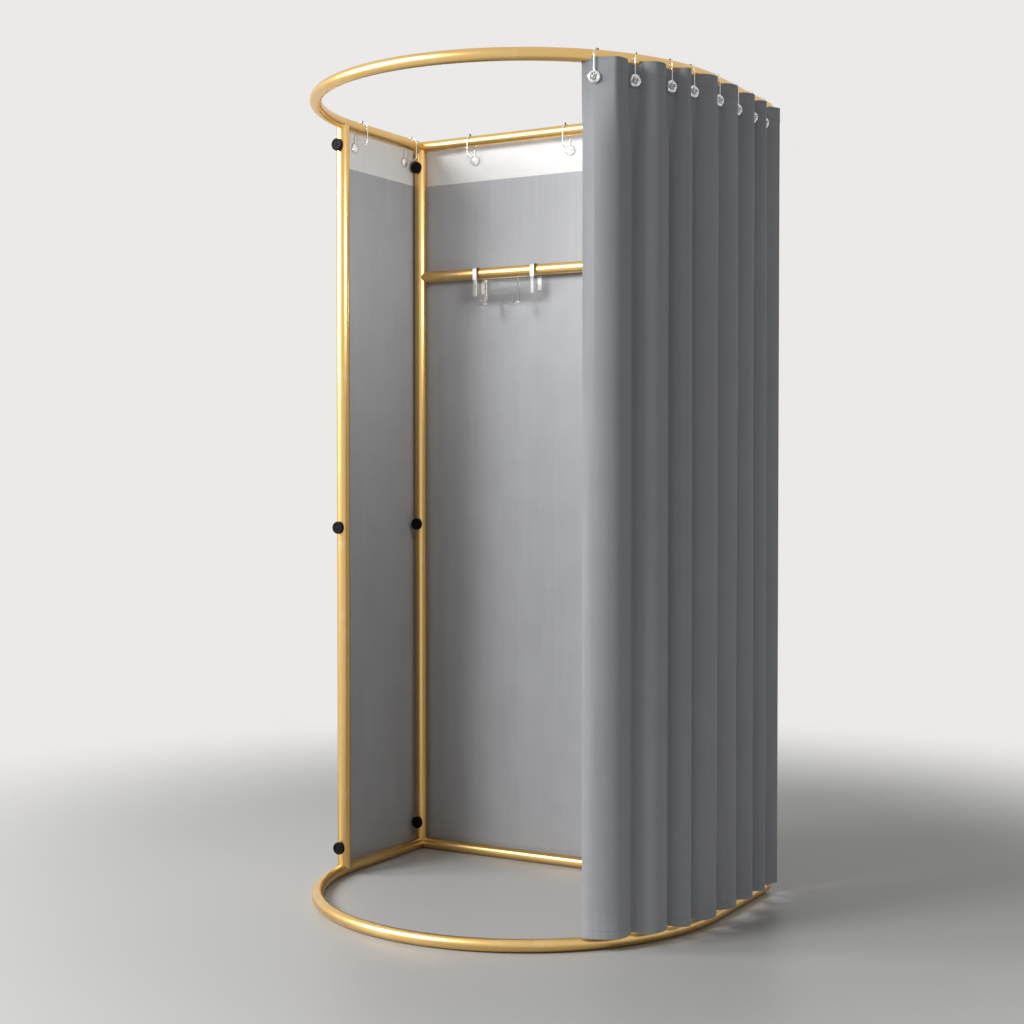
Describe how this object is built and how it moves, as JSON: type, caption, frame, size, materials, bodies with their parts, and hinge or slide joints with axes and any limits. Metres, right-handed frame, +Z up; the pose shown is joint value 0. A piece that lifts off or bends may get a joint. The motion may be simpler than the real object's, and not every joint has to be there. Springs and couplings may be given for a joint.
{
  "type": "portable fitting room",
  "caption": "Free-standing D-shaped tube frame with cloth panels at the back and side, a gathered curtain on ring hooks, a hanging bar and a small clear coat rack.",
  "frame": {"origin": "on the floor, under the middle of the back rail", "axes": "+Z up, the open front faces -Y, +X to the right as seen from the front"},
  "size_m": [1.1003, 0.8823, 2.006],
  "materials": {
    "gold_tube": "satin gold",
    "knob": "satin black",
    "grey_cloth": "matt woven velvet",
    "white_cloth": "matt white",
    "hook": "clear cut disc on a bright wire",
    "rack_strap": "bright",
    "rack_plate": "clear"
  },
  "bodies": {
    "frame": {"top_bow": "gold_tube", "top_back_rail": "gold_tube", "bottom_bow": "gold_tube", "bottom_back_rail": "gold_tube", "rear_left_post_lower": "gold_tube", "rear_left_post_upper": "gold_tube", "rear_left_joiner": "gold_tube", "rear_right_post_lower": "gold_tube", "rear_right_post_upper": "gold_tube", "rear_right_joiner": "gold_tube", "front_left_post_lower": "gold_tube", "front_left_post_upper": "gold_tube", "front_left_joiner": "gold_tube", "front_right_post_lower": "gold_tube", "front_right_post_upper": "gold_tube", "front_right_joiner": "gold_tube", "crossbar": "gold_tube", "back_panel": "grey_cloth", "back_header": "white_cloth", "back_hook_1": "hook", "back_hook_2": "hook", "back_hook_3": "hook", "back_hook_4": "hook", "left_panel": "grey_cloth", "left_header": "white_cloth", "left_hook_1": "hook", "left_hook_2": "hook", "curtain_hook_1": "hook", "curtain_hook_2": "hook", "curtain_hook_3": "hook", "curtain_hook_4": "hook", "curtain_fold_1": "grey_cloth", "curtain_fold_2": "grey_cloth", "curtain_fold_3": "grey_cloth", "curtain_edge_rear": "grey_cloth"},
    "rear_left_knob_low": {"rear_left_knob_low": "knob"},
    "rear_left_knob_middle": {"rear_left_knob_middle": "knob"},
    "rear_left_knob_high": {"rear_left_knob_high": "knob"},
    "rear_right_knob_low": {"rear_right_knob_low": "knob"},
    "rear_right_knob_middle": {"rear_right_knob_middle": "knob"},
    "rear_right_knob_high": {"rear_right_knob_high": "knob"},
    "front_left_knob_low": {"front_left_knob_low": "knob"},
    "front_left_knob_middle": {"front_left_knob_middle": "knob"},
    "front_left_knob_high": {"front_left_knob_high": "knob"},
    "front_right_knob_low": {"front_right_knob_low": "knob"},
    "front_right_knob_middle": {"front_right_knob_middle": "knob"},
    "front_right_knob_high": {"front_right_knob_high": "knob"},
    "curtain_section_1": {"curtain_hook_5": "hook", "curtain_fold_4": "grey_cloth"},
    "curtain_section_2": {"curtain_hook_6": "hook", "curtain_fold_5": "grey_cloth"},
    "curtain_section_3": {"curtain_hook_7": "hook", "curtain_fold_6": "grey_cloth"},
    "curtain_section_4": {"curtain_hook_8": "hook", "curtain_fold_7": "grey_cloth", "curtain_edge_front": "grey_cloth"},
    "coat_rack": {"rack_strap_left": "rack_strap", "rack_strap_right": "rack_strap", "rack_plate": "rack_plate"}
  },
  "joints": [
    {"name": "rear_left_knob_low_turn", "type": "hinge", "parent": "frame", "child": "rear_left_knob_low", "pos_m": [-0.517, 0, 0.075], "axis": [0, -1, 0], "continuous": true},
    {"name": "rear_left_knob_middle_turn", "type": "hinge", "parent": "frame", "child": "rear_left_knob_middle", "pos_m": [-0.517, 0, 0.922], "axis": [0, -1, 0], "continuous": true},
    {"name": "rear_left_knob_high_turn", "type": "hinge", "parent": "frame", "child": "rear_left_knob_high", "pos_m": [-0.517, 0, 1.925], "axis": [0, -1, 0], "continuous": true},
    {"name": "rear_right_knob_low_turn", "type": "hinge", "parent": "frame", "child": "rear_right_knob_low", "pos_m": [0.517, 0, 0.075], "axis": [0, -1, 0], "continuous": true},
    {"name": "rear_right_knob_middle_turn", "type": "hinge", "parent": "frame", "child": "rear_right_knob_middle", "pos_m": [0.517, 0, 0.922], "axis": [0, -1, 0], "continuous": true},
    {"name": "rear_right_knob_high_turn", "type": "hinge", "parent": "frame", "child": "rear_right_knob_high", "pos_m": [0.517, 0, 1.925], "axis": [0, -1, 0], "continuous": true},
    {"name": "front_left_knob_low_turn", "type": "hinge", "parent": "frame", "child": "front_left_knob_low", "pos_m": [-0.51374, -0.38, 0.075], "axis": [0, -1, 0], "continuous": true},
    {"name": "front_left_knob_middle_turn", "type": "hinge", "parent": "frame", "child": "front_left_knob_middle", "pos_m": [-0.51374, -0.38, 0.922], "axis": [0, -1, 0], "continuous": true},
    {"name": "front_left_knob_high_turn", "type": "hinge", "parent": "frame", "child": "front_left_knob_high", "pos_m": [-0.51374, -0.38, 1.925], "axis": [0, -1, 0], "continuous": true},
    {"name": "front_right_knob_low_turn", "type": "hinge", "parent": "frame", "child": "front_right_knob_low", "pos_m": [0.51374, -0.38, 0.075], "axis": [0, -1, 0], "continuous": true},
    {"name": "front_right_knob_middle_turn", "type": "hinge", "parent": "frame", "child": "front_right_knob_middle", "pos_m": [0.51374, -0.38, 0.922], "axis": [0, -1, 0], "continuous": true},
    {"name": "front_right_knob_high_turn", "type": "hinge", "parent": "frame", "child": "front_right_knob_high", "pos_m": [0.51374, -0.38, 1.925], "axis": [0, -1, 0], "continuous": true},
    {"name": "curtain_draw", "type": "hinge", "parent": "frame", "child": "curtain_section_1", "pos_m": [0, -0.322, 1.985], "axis": [0, 0, -1], "range_deg": [0, 30.5], "deforming": ["curtain_fold_4"]},
    {"name": "curtain_draw_2", "type": "hinge", "parent": "curtain_section_1", "child": "curtain_section_2", "pos_m": [0, -0.322, 1.985], "axis": [0, 0, -1], "range_deg": [0, 30.5], "deforming": ["curtain_fold_5"]},
    {"name": "curtain_draw_3", "type": "hinge", "parent": "curtain_section_2", "child": "curtain_section_3", "pos_m": [0, -0.322, 1.985], "axis": [0, 0, -1], "range_deg": [0, 30.5], "deforming": ["curtain_fold_6"]},
    {"name": "curtain_draw_4", "type": "hinge", "parent": "curtain_section_3", "child": "curtain_section_4", "pos_m": [0, -0.322, 1.985], "axis": [0, 0, -1], "range_deg": [0, 30.5], "deforming": ["curtain_fold_7"]},
    {"name": "rack_slide", "type": "slide", "parent": "frame", "child": "coat_rack", "axis": [1, 0, 0], "range_m": [-0.159, 0.626]}
  ],
  "couplings": [
    {"joint": "curtain_draw_2", "follows": "curtain_draw", "ratio": 1},
    {"joint": "curtain_draw_3", "follows": "curtain_draw", "ratio": 1},
    {"joint": "curtain_draw_4", "follows": "curtain_draw", "ratio": 1}
  ]
}
